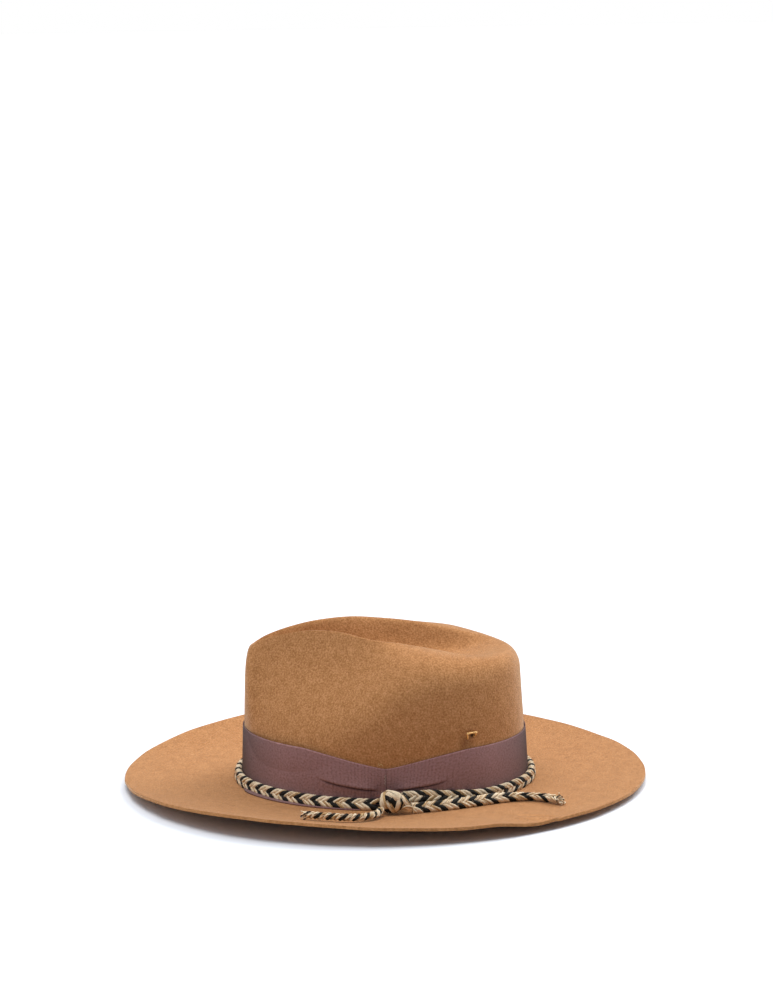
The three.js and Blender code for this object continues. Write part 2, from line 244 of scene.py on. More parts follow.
def herringbone(route, outward, width, thickness, lead, seed, yarns=5):
    """Yarns of a flat braid: petals from both edges that meet in chevrons, one in three black."""
    run = run_of(route)
    along = unit(np.gradient(route, axis=0))
    outward = unit(outward - along * (outward * along).sum(axis=1, keepdims=True))
    across = np.cross(along, outward)
    chance = np.random.default_rng(seed)
    spacing = PETAL_PITCH * 1.02 / yarns
    width = width * np.ones(len(route))
    for side in (1, -1):
        first = PETAL_PITCH / 2 if side > 0 else 0.0
        for i in range(int((run[-1] - first) / PETAL_PITCH) + 1):
            start = first + i * PETAL_PITCH
            turn = np.interp(start, run, lead)
            swell = chance.uniform(0.94, 1.06) * (1.25 if i % 3 == 2 else 0.9)
            for j in range(yarns):
                aside = j - (yarns - 1) / 2
                at = start + PETAL[:, 2] * turn + aside * spacing * PETAL[:, 3] * swell
                at = np.clip(at + chance.normal(0, 0.00008, len(at)), 0, run[-1])
                wide = side * np.interp(at, run, width) * (PETAL[:, 0] - 0.02)
                wide += chance.normal(0, 0.00007, len(at))
                deep = thickness * PETAL[:, 1] - 0.00017 * aside**2
                spot = [
                    np.stack([np.interp(at, run, rows[:, k]) for k in range(3)], axis=1)
                    for rows in (route, across, outward)
                ]
                points = spot[0] + spot[1] * wide[:, None] + spot[2] * deep[:, None]
                yield points, BLACK if i % 3 == 2 else straw(chance)
    # Core yarns along the middle fill the braid under its petals; they are black as painted shade in the
    # gaps between petals.
    for aside in (-0.28, -0.1, 0.1, 0.28):
        yield route + across * aside * width[:, None] - outward * 0.12 * thickness, BLACK


def frayed_end(route, radius, count, seed, longest):
    """Cut yarns that stand out of the end of a tail, most of them natural, each bent its own way."""
    chance = np.random.default_rng(seed)
    heading = unit(route[-1] - route[-6])
    made = []
    for i in range(count):
        start = route[-3] + chance.uniform(-0.6, 0.6, 3) * radius
        aim = unit(heading + chance.normal(0, 0.32, 3)) * chance.uniform(0.25, 1) * longest
        droop = np.array([0, 0, -0.0006])
        made.append((np.array([start, start + aim * 0.5, start + aim + droop]), int(i % 4 == 1)))
    return made


flat_route = smooth_route(FLAT_TAIL_ROUTE, step=0.0009)
flat_outward = np.tile(FLAT_TAIL_FACE, (len(flat_route), 1))
flat_lead = np.full(len(flat_route), -PETAL_LEAD)
flat_width = FLAT_TAIL_WIDTH * np.interp(run_of(flat_route), *FLAT_TAIL_TAPER)
flat_yarns = list(
    herringbone(flat_route, flat_outward, flat_width, 0.9 * FLAT_TAIL_THICKNESS, flat_lead, seed=40)
)
flat_yarns += frayed_end(flat_route, flat_width[-1] / 2, count=40, seed=41, longest=0.0084)
tail_flat = mesh_of_yarns("tail_flat_strands", flat_yarns, jute_dyes, seed=2)
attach(tail_flat, "root")
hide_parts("tail_flat")
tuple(FLAT_TAIL_ROUTE[0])
float(run_of(flat_route)[-1])


# Thin tail: the braid's other end, twisted like a small rope. It leaves the knot forwards along
# the brim and ends in a cut end whose yarns have opened a little.
THIN_TAIL_DIAMETER = 0.0052
THIN_TAIL_PITCH = 0.0085
THIN_TAIL_YARN_TURNS = 40
THIN_TAIL_ROUTE = [
    (0.106, 0.01, 0.0064),
    (0.113, 0.009, 0.0063),
    (0.121, 0.007, 0.007),
    (0.129, 0.003, 0.0082),
    (0.135, -0.004, 0.0091),
    (0.137, -0.012, 0.0096),
    (0.136, -0.021, 0.0097),
    (0.134, -0.03, 0.0097),
    (0.133, -0.036, 0.0098),
]

thin_route = smooth_route(THIN_TAIL_ROUTE, step=0.0008)
thin_up = np.tile([0.0, 0.0, 1.0], (len(thin_route), 1))


def waver(count, size, seed, spacing=9):
    """Smooth random offsets along a line, one for each of its points."""
    chance = np.random.default_rng(seed)
    knots = chance.normal(0, size, count // spacing + 3)
    return np.interp(np.arange(count) / spacing, np.arange(len(knots)), knots)


def rope(route, up, diameter, pitch, strand_yarns, seed):
    """Three strands twisted round each other along a route, one of them black."""
    chance = np.random.default_rng(seed)
    run = run_of(route)
    along = unit(np.gradient(route, axis=0))
    side = unit(np.cross(along, up))
    above = np.cross(side, along)
    strand_size = 0.46 * diameter
    for k in range(3):
        turn = 2 * math.pi * (run / pitch + k / 3)
        out = side * np.cos(turn)[:, None] + above * np.sin(turn)[:, None]
        line = route + out * (diameter - strand_size) / 2
        for j in range(strand_yarns):
            twist = 2 * math.pi * (j / strand_yarns - run * THIN_TAIL_YARN_TURNS)
            wide = side * np.cos(twist)[:, None] + above * np.sin(twist)[:, None]
            shift = (strand_size / 2 - YARN_RADIUS) + waver(len(run), 0.00008, seed * 31 + 5 * k + j)
            yield line + wide * shift[:, None], BLACK if k == 2 else straw(chance)


thin_yarns = list(
    rope(thin_route, thin_up, THIN_TAIL_DIAMETER, THIN_TAIL_PITCH, strand_yarns=4, seed=60)
)
thin_yarns += frayed_end(thin_route, THIN_TAIL_DIAMETER / 2, count=22, seed=61, longest=0.0045)
tail_thin = mesh_of_yarns("tail_thin_strands", thin_yarns, jute_dyes, seed=3)
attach(tail_thin, "root")
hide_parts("tail_thin")
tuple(THIN_TAIL_ROUTE[0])
float(run_of(thin_route)[-1])


# Felt body: one piece of tan wool felt 2 mm thick, blocked by hand from a flat disc into crown
# and brim, with a teardrop dent on top, a pinch on each side in front and a raw cut edge.
FELT_THICKNESS = 0.002
HEAD_LENGTH = 0.196
HEAD_WIDTH = 0.170
CROWN_HEIGHT = 0.107
CROWN_LEAN = 0.0022
CROWN_BACK_LEAN = 0.0015
BREAK_RADIUS = 0.004
SEAT_WIDTH = 0.012
BRIM_LENGTH = 0.359
BRIM_WIDTH = 0.344
EDGE_LIFT = 0.004
EDGE_SIDE_LIFT = 0.0074
EDGE_QUARTER_LIFT = 0.0016
BRIM_CURVE = 1.5
DENT_CENTRE = np.array([0, 0.008, FELT_THICKNESS + 0.082])
FELT_COLUMNS = 300
SMOOTHED_ABOVE = 0.03

# Ridge round the dent, every 15 degrees from the front to the back: out, along, up, the height
# where the wall starts to lean in, and how far it is scooped as the front pinch.
RIDGE = np.array(
    [
        (0.0, -0.925, 0.858, 0.66, 0.0),
        (0.045, -0.905, 0.872, 0.4, 0.45),
        (0.09, -0.83, 0.908, 0.22, 0.95),
        (0.15, -0.69, 0.948, 0.18, 1.0),
        (0.22, -0.49, 0.985, 0.19, 1.0),
        (0.32, -0.27, 0.994, 0.27, 1.0),
        (0.43, -0.05, 0.966, 0.42, 0.8),
        (0.445, 0.17, 0.946, 0.58, 0.35),
        (0.425, 0.38, 0.914, 0.66, 0.0),
        (0.405, 0.58, 0.878, 0.68, 0.0),
        (0.34, 0.735, 0.852, 0.69, 0.0),
        (0.2, 0.82, 0.846, 0.7, 0.0),
        (0.0, 0.852, 0.845, 0.7, 0.0),
    ]
)
RIDGE_LOOP = np.vstack([RIDGE, (RIDGE * [-1, 1, 1, 1, 1])[-2:0:-1]])

# Section of the leaning wall: in and up as a round shoulder, in and up as the front pinch.
LEAN_SECTION = np.array(
    [
        (0.0, 0.0, 0.0, 0.0),
        (0.012, 0.18, 0.018, 0.11),
        (0.05, 0.35, 0.06, 0.21),
        (0.115, 0.51, 0.15, 0.32),
        (0.205, 0.655, 0.3, 0.44),
        (0.325, 0.78, 0.48, 0.56),
        (0.47, 0.88, 0.655, 0.68),
        (0.64, 0.95, 0.81, 0.8),
        (0.82, 0.988, 0.925, 0.91),
        (1.0, 1.0, 1.0, 1.0),
    ]
)

# Section of the dent: inward to its centre, down to its floor.
DENT_SECTION = np.array(
    [
        (0.0, 0.0),
        (0.08, 0.06),
        (0.18, 0.26),
        (0.3, 0.54),
        (0.44, 0.79),
        (0.6, 0.93),
        (0.8, 0.99),
        (1.0, 1.0),
    ]
)


def between(rows, place, loop=False):
    """Smooth values of a table's rows at places counted in rows."""
    low = np.floor(place).astype(int)
    t = (place - low)[..., None]
    last = len(rows)
    pick = [
        rows[(low + k) % last] if loop else rows[np.clip(low + k, 0, last - 1)]
        for k in (-1, 0, 1, 2)
    ]
    a, b, c, d = pick
    return b + 0.5 * t * (c - a + t * (2 * a - 5 * b + 4 * c - d + t * (3 * (b - c) + d - a)))


def oval_point(angle, offset, height):
    """Point of the head oval at angles from the front, moved out of it by an offset."""
    side, front = np.sin(angle), -np.cos(angle)
    out = unit(np.stack([side / HEAD_WIDTH, front / HEAD_LENGTH], axis=-1))
    x = HEAD_WIDTH / 2 * side + out[..., 0] * offset
    y = HEAD_LENGTH / 2 * front + out[..., 1] * offset
    return np.stack([x, y, height + 0 * x], axis=-1)


def brim_point(angle, share):
    """Top of the brim, from the flat seat at 0 to the edge at 1."""
    seat = oval_point(angle, BREAK_RADIUS + SEAT_WIDTH, FELT_THICKNESS)
    side = EDGE_SIDE_LIFT * np.sin(angle) ** 2
    quarter = EDGE_QUARTER_LIFT * (np.cos(angle) - np.cos(3 * angle))
    rise = EDGE_LIFT + side + quarter
    x = BRIM_WIDTH / 2 * np.sin(angle)
    y = -BRIM_LENGTH / 2 * np.cos(angle)
    edge = np.stack([x, y, FELT_THICKNESS + rise], axis=-1)
    place = seat + (edge - seat) * share
    place[:, 2] = FELT_THICKNESS + rise * share**BRIM_CURVE
    return place


def wall_point(angle, share):
    """Outside of the upright wall, from the break at 0 to where it starts to lean at 1."""
    foot = FELT_THICKNESS + BREAK_RADIUS
    ridge = between(RIDGE_LOOP, angle / math.radians(15), loop=True)
    start = FELT_THICKNESS + CROWN_HEIGHT * ridge[:, 3]
    lean = CROWN_LEAN + CROWN_BACK_LEAN * np.clip(-np.cos(angle), 0, 1)
    return oval_point(angle, -lean * share, foot + (start - foot) * share)


def ridge_point(angle):
    ridge = between(RIDGE_LOOP, angle / math.radians(15), loop=True)
    sizes = [HEAD_WIDTH / 2, HEAD_LENGTH / 2, CROWN_HEIGHT]
    return ridge[:, :3] * sizes + [0, 0, FELT_THICKNESS], np.clip(ridge[:, 4:5], 0, 1)


def lean_point(angle, share):
    """Outside of the leaning wall, from its start at 0 to the ridge at 1."""
    start = wall_point(angle, 1.0)
    ridge, scoop = ridge_point(angle)
    row = between(LEAN_SECTION, np.full(len(angle), share * (len(LEAN_SECTION) - 1)))
    inward = row[:, 0:1] + (row[:, 2:3] - row[:, 0:1]) * scoop
    upward = row[:, 1:2] + (row[:, 3:4] - row[:, 1:2]) * scoop
    place = start + (ridge - start) * inward
    place[:, 2:3] = start[:, 2:3] + (ridge[:, 2:3] - start[:, 2:3]) * upward
    return place


def dent_point(angle, share):
    """Skin of the dent, from the ridge at 0 to its centre at 1."""
    ridge, _ = ridge_point(angle)
    row = between(DENT_SECTION, np.full(len(angle), share * (len(DENT_SECTION) - 1)))
    place = ridge + (DENT_CENTRE - ridge) * row[:, 0:1]
    place[:, 2:3] = ridge[:, 2:3] + (DENT_CENTRE[2] - ridge[:, 2:3]) * row[:, 1:2]
    return place


def break_point(angle, share):
    """Rounded corner between brim and wall, from the seat at 0 to the wall at 1."""
    turn = share * math.pi / 2
    away = BREAK_RADIUS * (1 - math.sin(turn))
    rise = BREAK_RADIUS * (1 - math.cos(turn))
    return oval_point(angle, away, FELT_THICKNESS + rise)


def seat_point(angle, share):
    """Flat ring of the brim round the crown."""
    return oval_point(angle, BREAK_RADIUS + SEAT_WIDTH * share, FELT_THICKNESS)


felt_rings = (
    [(dent_point, s) for s in np.linspace(0.985, 0, 26)]
    + [(lean_point, s) for s in np.linspace(1, 0, 31)[1:]]
    + [(wall_point, s) for s in np.linspace(1, 0, 24)[1:]]
    + [(break_point, s) for s in np.linspace(1, 0, 6)[1:]]
    + [(seat_point, s) for s in np.linspace(0, 1, 6)[1:]]
    + [(brim_point, s) for s in np.linspace(0, 1, 36)[1:]]
)

disc = bmesh.new()
chain = [disc.verts.new((0, 0, 0))]
for ring in range(len(felt_rings)):
    chain.append(disc.verts.new((0, -1 - ring, 0)))
    disc.edges.new(chain[-2:])
bmesh.ops.spin(
    disc,
    geom=disc.verts[:] + disc.edges[:],
    cent=(0, 0, 0),
    axis=(0, 0, 1),
    dvec=(0, 0, 0),
    angle=2 * math.pi,
    steps=FELT_COLUMNS,
    use_merge=True,
)
bmesh.ops.remove_doubles(disc, verts=disc.verts, dist=1e-4)
rings = [[] for _ in felt_rings]
for vert in disc.verts:
    ring = round(math.hypot(vert.co.x, vert.co.y)) - 1
    if ring >= 0:
        rings[ring].append(vert)
    else:
        vert.co = DENT_CENTRE
for (shape, share), members in zip(felt_rings, rings):
    angles = np.array([math.atan2(v.co.x, -v.co.y) % (2 * math.pi) for v in members])
    for vert, place in zip(members, shape(angles, share)):
        vert.co = place
bmesh.ops.smooth_vert(
    disc,
    verts=[v for v in disc.verts if v.co.z > SMOOTHED_ABOVE],
    factor=0.5,
    use_axis_x=True,
    use_axis_y=True,
    use_axis_z=True,
)
bmesh.ops.recalc_face_normals(disc, faces=disc.faces)
if max(disc.faces, key=lambda f: f.calc_center_median().z).normal.z < 0:
    bmesh.ops.reverse_faces(disc, faces=disc.faces)

# The staple above the ribbon pulls a dimple into the wall; the dark slot under its bar is painted shade in
# the felt's colour, not a cut in the mesh.
DIMPLE_PLACE = Vector(oval_point(np.array([math.radians(130.5)]), -0.0012, 0.0418)[0])
DIMPLE_RADIUS = 0.0075
DIMPLE_DEPTH = 0.004
SLOT_SHADE_PLACE = Vector(oval_point(np.array([math.radians(133.6)]), -0.0014, 0.0461)[0])

# The brim is uneven over its outer part: a rise and a dip of the edge, in degrees from the front
# and metres, and a short slanting crease beside the flat tail.
PLAIN_WALL_TOP = 0.045
LOOSE_BRIM = 0.72
EDGE_WAVES = [(121, 0.0012), (131, -0.0009)]
EDGE_WAVE_SPREAD = 5
CREASE_PLACE = (0.112, 0.106)
CREASE_SLANT = 0.476
CREASE_WIDTH = 0.0035
CREASE_MIDDLE = 0.114
CREASE_REACH = 0.011
CREASE_HEIGHT = 0.004

# Hand-blocked felt is never quite even: the skin wavers a little, the brim most of all.
disc.normal_update()
for vert in disc.verts:
    place = vert.co.copy()
    reach = Vector((place.x / (BRIM_WIDTH / 2), place.y / (BRIM_LENGTH / 2), 0)).length
    if place.z > PLAIN_WALL_TOP:
        vert.co += vert.normal * 0.0005 * noise.noise(place * 26)
        dent = max(0, 1 - (place - DIMPLE_PLACE).length / DIMPLE_RADIUS)
        vert.co -= vert.normal * DIMPLE_DEPTH * dent * dent * (3 - 2 * dent)
    elif reach > LOOSE_BRIM:
        edge = (reach - LOOSE_BRIM) / (1 - LOOSE_BRIM)
        vert.co.z += 0.0006 * edge * noise.noise(place * 22 + Vector((5, 0, 0)))
        turn = math.degrees(math.atan2(place.x, -place.y))
        for middle, rise in EDGE_WAVES:
            vert.co.z += rise * edge * math.exp(-(((turn - middle) / EDGE_WAVE_SPREAD) ** 2))
        aside = place.x - CREASE_PLACE[0] - CREASE_SLANT * (place.y - CREASE_PLACE[1])
        bend = aside / CREASE_WIDTH
        window = math.exp(-(((place.y - CREASE_MIDDLE) / CREASE_REACH) ** 2))
        vert.co.z += CREASE_HEIGHT * window * bend * math.exp(-bend * bend)
        vert.co.xy *= 1 + 0.0035 * edge**3 * noise.noise(Vector((place.x, place.y, 0)) * 40)

felt_mesh = bpy.data.meshes.new("felt")
disc.to_mesh(felt_mesh)
disc.free()
felt_mesh.shade_smooth()
felt = bpy.data.objects.new("felt", felt_mesh)
bpy.context.scene.collection.objects.link(felt)
wall = felt.modifiers.new("wall", "SOLIDIFY")
wall.thickness = FELT_THICKNESS
wall.offset = -1
edge = felt.modifiers.new("cut edge", "BEVEL")
edge.width = 0.0004
edge.segments = 2
edge.limit_method = "ANGLE"
edge.angle_limit = math.radians(60)

# Painted shade in the felt's colour at the slot under the staple's bar and in the dimple: place, radius of
# the dark middle, outer radius, and the light left.
FELT_HOLLOW_SHADE = [(SLOT_SHADE_PLACE, 0.0011, 0.0027, 0.12), (DIMPLE_PLACE, 0.001, 0.008, 0.62)]


def shaded(colour, value, start, end, low, high):
    """The colour times a factor that runs from low to high as a value runs from start to end."""
    factor = nodes.new("ShaderNodeMapRange")
    for name, number in zip(("From Min", "From Max", "To Min", "To Max"), (start, end, low, high)):
        factor.inputs[name].default_value = number
    links.new(value, factor.inputs["Value"])
    scaled = nodes.new("ShaderNodeVectorMath")
    scaled.operation = "SCALE"
    links.new(colour, scaled.inputs[0])
    links.new(factor.outputs["Result"], scaled.inputs["Scale"])
    return scaled.outputs["Vector"]


felt_cloth, nodes, links, shader = new_material("wool_felt")
place = nodes.new("ShaderNodeTexCoord")
mottle = nodes.new("ShaderNodeTexNoise")
mottle.inputs["Scale"].default_value = 160
mottle.inputs["Detail"].default_value = 5
links.new(place.outputs["Object"], mottle.inputs["Vector"])
nap = nodes.new("ShaderNodeTexNoise")
nap.inputs["Scale"].default_value = 850
nap.inputs["Detail"].default_value = 3
nap.inputs["Roughness"].default_value = 0.65
links.new(place.outputs["Object"], nap.inputs["Vector"])
mixed = nodes.new("ShaderNodeMath")
mixed.operation = "MULTIPLY_ADD"
mixed.inputs[1].default_value = 0.2
links.new(mottle.outputs["Fac"], mixed.inputs[0])
shared = nodes.new("ShaderNodeMath")
shared.operation = "MULTIPLY"
shared.inputs[1].default_value = 0.8
links.new(nap.outputs["Fac"], shared.inputs[0])
links.new(shared.outputs["Value"], mixed.inputs[2])
tan = colour_steps(
    nodes,
    links,
    mixed.outputs["Value"],
    [(0.36, (0.31, 0.134, 0.047)), (0.5, (0.44, 0.2, 0.075)), (0.64, (0.58, 0.29, 0.122))],
)
# Darken the felt's colour round each place: painted shade.
for hollow, inner, outer, light_left in FELT_HOLLOW_SHADE:
    from_hollow = nodes.new("ShaderNodeVectorMath")
    from_hollow.operation = "DISTANCE"
    from_hollow.inputs[1].default_value = hollow
    links.new(place.outputs["Object"], from_hollow.inputs[0])
    tan = shaded(tan, from_hollow.outputs["Value"], inner, outer, light_left, 1)
links.new(tan, shader.inputs["Base Color"])
bump = nodes.new("ShaderNodeBump")
bump.inputs["Strength"].default_value = 0.6
bump.inputs["Distance"].default_value = 0.0008
links.new(nap.outputs["Fac"], bump.inputs["Height"])
links.new(bump.outputs["Normal"], shader.inputs["Normal"])
shader.inputs["Roughness"].default_value = 0.95
shader.inputs["Specular IOR Level"].default_value = 0.15
shader.inputs["Sheen Weight"].default_value = 0.7
shader.inputs["Sheen Roughness"].default_value = 0.28
shader.inputs["Sheen Tint"].default_value = (1.0, 0.79, 0.58, 1)
felt.data.materials.append(felt_cloth)
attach(felt, "root")
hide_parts("felt_body")


# Ribbon: mauve-brown grosgrain 36 mm wide, stretched round the foot of the crown and sewn end to
# end on the wearer's left, where it is drawn down to the knot and tucks into a fold on each side.
RIBBON_HEIGHT = 0.0355
RIBBON_CLEARANCE = 0.0004
RIBBON_THICKNESS = 0.0007
SEAM_ANGLE = 96.5
SEAM_DIP = 0.0095
SEAM_DIP_SPREAD = 36
RIBBON_FRONT_LIFT = 0.0022
RIBBON_COLUMNS = 400
RIBBON_ROWS = 96
FOLD_DEPTH = 0.0026
RIBBON_PER_RADIAN = 0.0925
RIB_PITCH = 0.0009
SEAM_HALF_WIDTH = 0.00022

# The foot of the ribbon stands out under the braid on the left side, in front of the knot: how
# far, over which share of its height, and between which degrees from the front.
RIBBON_FLARE = 0.0089
RIBBON_FLARE_SHARE = 0.13
RIBBON_FLARE_START = 22
RIBBON_FLARE_END = 93

# Folds on the two sides of the seam: angle and height of a few places along each crease.
FOLDS = [
    [(68, 0.0195), (77, 0.0165), (86, 0.0145), (94, 0.0135)],
    [(99, 0.0135), (104, 0.0142), (110, 0.0152), (116, 0.0163), (122, 0.0182)],
]


def ribbon_top(angle):
    away = np.sqrt((angle - SEAM_ANGLE) ** 2 + 4) / SEAM_DIP_SPREAD
    dip = 1.07 * SEAM_DIP * np.clip(1 - away, 0, 1) ** 1.5
    front = RIBBON_FRONT_LIFT * np.clip(np.cos(np.radians(angle - 30)), 0, 1) ** 1.5
    return FELT_THICKNESS + RIBBON_HEIGHT - dip + front * np.clip(away - 0.4, 0, 0.6) / 0.6


def ribbon_stand(angle, height):
    """How far the ribbon stands off beside each fold, and how deep in a fold a place is, for painted shade.
    """
    stand = np.zeros_like(height)
    crease = np.zeros_like(height)
    for fold in FOLDS:
        turns, heights = zip(*fold)
        above = height - np.interp(angle, turns, heights)
        strength = np.clip((angle - turns[0]) / 5, 0, 1) * np.clip((turns[-1] - angle) / 5, 0, 1)
        strength *= np.clip(1.35 - np.abs(angle - SEAM_ANGLE) / 30, 0.4, 1)
        swell = np.where(above > 0, np.exp(-above / 0.005), 0.5 * np.exp(above / 0.004))
        gap = np.exp(-((above / 0.0008) ** 2))
        stand = np.maximum(stand, FOLD_DEPTH * strength * swell * (1 - gap))
        crease = np.maximum(crease, strength * gap)
    return stand, crease


def wall_offset(angle, height):
    """Offset of the wall from the head oval at angles and heights over the floor."""
    rise = np.clip((height - FELT_THICKNESS) / BREAK_RADIUS, 0, 1)
    corner = BREAK_RADIUS * (1 - np.sqrt(1 - (1 - rise) ** 2))
    start = CROWN_HEIGHT * between(RIDGE_LOOP, angle / math.radians(15), loop=True)[:, 3]
    lean = CROWN_LEAN + CROWN_BACK_LEAN * np.clip(-np.cos(angle), 0, 1)
    climb = (height - FELT_THICKNESS - BREAK_RADIUS) / (start - BREAK_RADIUS)
    return corner - lean * np.clip(climb, 0, 1)


band = bmesh.new()
chain = []
for row in range(RIBBON_ROWS + 1):
    chain.append(band.verts.new((0, -1, row)))
    if row:
        band.edges.new(chain[-2:])
bmesh.ops.spin(
    band,
    geom=band.verts[:] + band.edges[:],
    cent=(0, 0, 0),
    axis=(0, 0, 1),
    dvec=(0, 0, 0),
    angle=2 * math.pi,
    steps=RIBBON_COLUMNS,
    use_merge=True,
)
bmesh.ops.recalc_face_normals(band, faces=band.faces)
band_uv = band.loops.layers.uv.new("cloth")
for face in band.faces:
    middle = face.calc_center_median()
    centre_turn = math.atan2(middle.x, -middle.y) % (2 * math.pi)
    for loop in face.loops:
        turn = math.atan2(loop.vert.co.x, -loop.vert.co.y) % (2 * math.pi)
        if turn - centre_turn > math.pi:
            turn -= 2 * math.pi
        if centre_turn - turn > math.pi:
            turn += 2 * math.pi
        height = loop.vert.co.z / RIBBON_ROWS * RIBBON_HEIGHT
        loop[band_uv].uv = (turn * RIBBON_PER_RADIAN, height)
turns = np.array([math.atan2(v.co.x, -v.co.y) % (2 * math.pi) for v in band.verts])
shares = np.array([v.co.z / RIBBON_ROWS for v in band.verts])
foot = FELT_THICKNESS + BREAK_RADIUS * (1 - math.cos(math.radians(50)))
heights = foot + (ribbon_top(np.degrees(turns)) - foot) * shares
stand, crease = ribbon_stand(np.degrees(turns), heights)
stands = wall_offset(turns, heights) + RIBBON_CLEARANCE + stand
flare = np.clip((np.degrees(turns) - RIBBON_FLARE_START) / 14, 0, 1)
flare *= np.clip((RIBBON_FLARE_END - np.degrees(turns)) / 8, 0, 1)
flare *= np.clip(1 - shares / RIBBON_FLARE_SHARE, 0, 1)
stands += (RIBBON_FLARE - stands) * np.sin(flare * math.pi / 2)
heights += (FELT_THICKNESS + 0.0002 - heights) * np.sin(flare * math.pi / 2) ** 0.6
# The fold layer holds how deep in a crease each place is; the ribbon's colour is darkened there as painted
# shade.
fold_shade = band.verts.layers.float.new("fold")
for vert, place, shade in zip(band.verts, oval_point(turns, stands, heights), crease):
    vert.co = place
    vert[fold_shade] = shade
ribbon_mesh = bpy.data.meshes.new("ribbon")
band.to_mesh(ribbon_mesh)
band.free()
ribbon_mesh.shade_smooth()
ribbon = bpy.data.objects.new("ribbon", ribbon_mesh)
bpy.context.scene.collection.objects.link(ribbon)
cloth = ribbon.modifiers.new("cloth", "SOLIDIFY")
cloth.thickness = RIBBON_THICKNESS
cloth.offset = 1

grosgrain, nodes, links, shader = new_material("grosgrain")
uv = nodes.new("ShaderNodeUVMap")
uv.uv_map = "cloth"
ribs = nodes.new("ShaderNodeTexWave")
ribs.wave_type = "BANDS"
ribs.bands_direction = "X"
ribs.inputs["Scale"].default_value = 2 * math.pi / 20 / RIB_PITCH
ribs.inputs["Distortion"].default_value = 0.6
ribs.inputs["Detail"].default_value = 2
links.new(uv.outputs["UV"], ribs.inputs["Vector"])
shade = nodes.new("ShaderNodeTexNoise")
shade.inputs["Scale"].default_value = 700
shade.inputs["Detail"].default_value = 4
links.new(uv.outputs["UV"], shade.inputs["Vector"])
mixed = nodes.new("ShaderNodeMath")
mixed.operation = "MULTIPLY_ADD"
mixed.inputs[1].default_value = 0.42
links.new(ribs.outputs["Fac"], mixed.inputs[0])
links.new(shade.outputs["Fac"], mixed.inputs[2])
mauve = colour_steps(
    nodes,
    links,
    mixed.outputs["Value"],
    [(0.38, (0.19, 0.098, 0.094)), (0.62, (0.31, 0.166, 0.16)), (0.84, (0.42, 0.24, 0.235))],
)
place = nodes.new("ShaderNodeSeparateXYZ")
links.new(uv.outputs["UV"], place.inputs["Vector"])
fold = nodes.new("ShaderNodeAttribute")
fold.attribute_name = "fold"
# Painted shade in the creases of the folds, from the fold layer.
mauve = shaded(mauve, fold.outputs["Fac"], 0, 0.8, 1, 0.06)
# Painted shade: the ribbon's colour is darkened where its surface is seen edge-on.
grazing = nodes.new("ShaderNodeLayerWeight")
grazing.inputs["Blend"].default_value = 0.5
mauve = shaded(mauve, grazing.outputs["Facing"], 0.3, 0.85, 1.05, 0.2)
# Painted highlight: a lighter line along the ribbon's top edge.
mauve = shaded(mauve, place.outputs["Y"], 0.975 * RIBBON_HEIGHT, 0.982 * RIBBON_HEIGHT, 1, 1.4)
# Dark line down the seam: the joint between the ribbon's ends, darkened also as painted shade of one end
# lying over the other.
seam = nodes.new("ShaderNodeMath")
seam.operation = "COMPARE"
seam.inputs[1].default_value = math.radians(SEAM_ANGLE) * RIBBON_PER_RADIAN
seam.inputs[2].default_value = SEAM_HALF_WIDTH
links.new(place.outputs["X"], seam.inputs[0])
mauve = shaded(mauve, seam.outputs["Value"], 0, 1, 1, 0.4)
links.new(mauve, shader.inputs["Base Color"])
bump = nodes.new("ShaderNodeBump")
bump.inputs["Strength"].default_value = 0.8
bump.inputs["Distance"].default_value = 0.0003
links.new(ribs.outputs["Fac"], bump.inputs["Height"])
links.new(bump.outputs["Normal"], shader.inputs["Normal"])
shader.inputs["Roughness"].default_value = 0.6
shader.inputs["Specular IOR Level"].default_value = 0.25
ribbon.data.materials.append(grosgrain)
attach(ribbon, "root")
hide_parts("ribbon_band")


# Braid: two natural strands and one black, plaited flat and laid once round the foot of the
# ribbon from one side of the knot to the other. It leans back into the corner over the brim.
BRAID_WIDTH = 0.0095
BRAID_THICKNESS = 0.0038
BRAID_TILT = math.radians(36)
BRAID_HALF_HEIGHT = 0.5 * math.hypot(
    BRAID_WIDTH * math.cos(BRAID_TILT), BRAID_THICKNESS * math.sin(BRAID_TILT)
)
BRAID_HEIGHT = FELT_THICKNESS + 0.0003 + BRAID_HALF_HEIGHT
KNOT_ANGLE = 99
KNOT_HALF_GAP = 4.2
BRAID_STANDOFF = 0.0022
BRAID_SETTLE = 0.0007

# The loop rides up on the flat tail behind the knot: how far, until which degrees from the front
# and over how many degrees it comes down. Its chevrons change their direction on the far side.
LOOP_LIFT = 0.0046
LOOP_LIFT_END = 138
LOOP_LIFT_SPREAD = 26
CHEVRON_TURN_ANGLE = 262

degrees = np.linspace(KNOT_ANGLE + KNOT_HALF_GAP, KNOT_ANGLE + 360 - KNOT_HALF_GAP, 700)
angles = np.radians(degrees)
loop_tilt = BRAID_TILT * (1 - 0.85 * np.abs(np.cos(angles)) ** 1.3)
loop_depth = 0.5 * np.hypot(BRAID_WIDTH * np.sin(loop_tilt), BRAID_THICKNESS * np.cos(loop_tilt))
loop_lift = LOOP_LIFT * np.clip((LOOP_LIFT_END - degrees) / LOOP_LIFT_SPREAD, 0, 1) ** 1.2
loop_route = oval_point(angles, BRAID_STANDOFF + loop_depth, BRAID_HEIGHT - BRAID_SETTLE + loop_lift)
loop_out = unit(oval_point(angles, 0.001, 0.0) - oval_point(angles, 0.0, 0.0))
loop_face = loop_out * np.cos(loop_tilt)[:, None] + np.sin(loop_tilt)[:, None] * [0, 0, 1]
loop_lead = PETAL_LEAD * np.clip((CHEVRON_TURN_ANGLE - degrees) / 5, -1, 1)
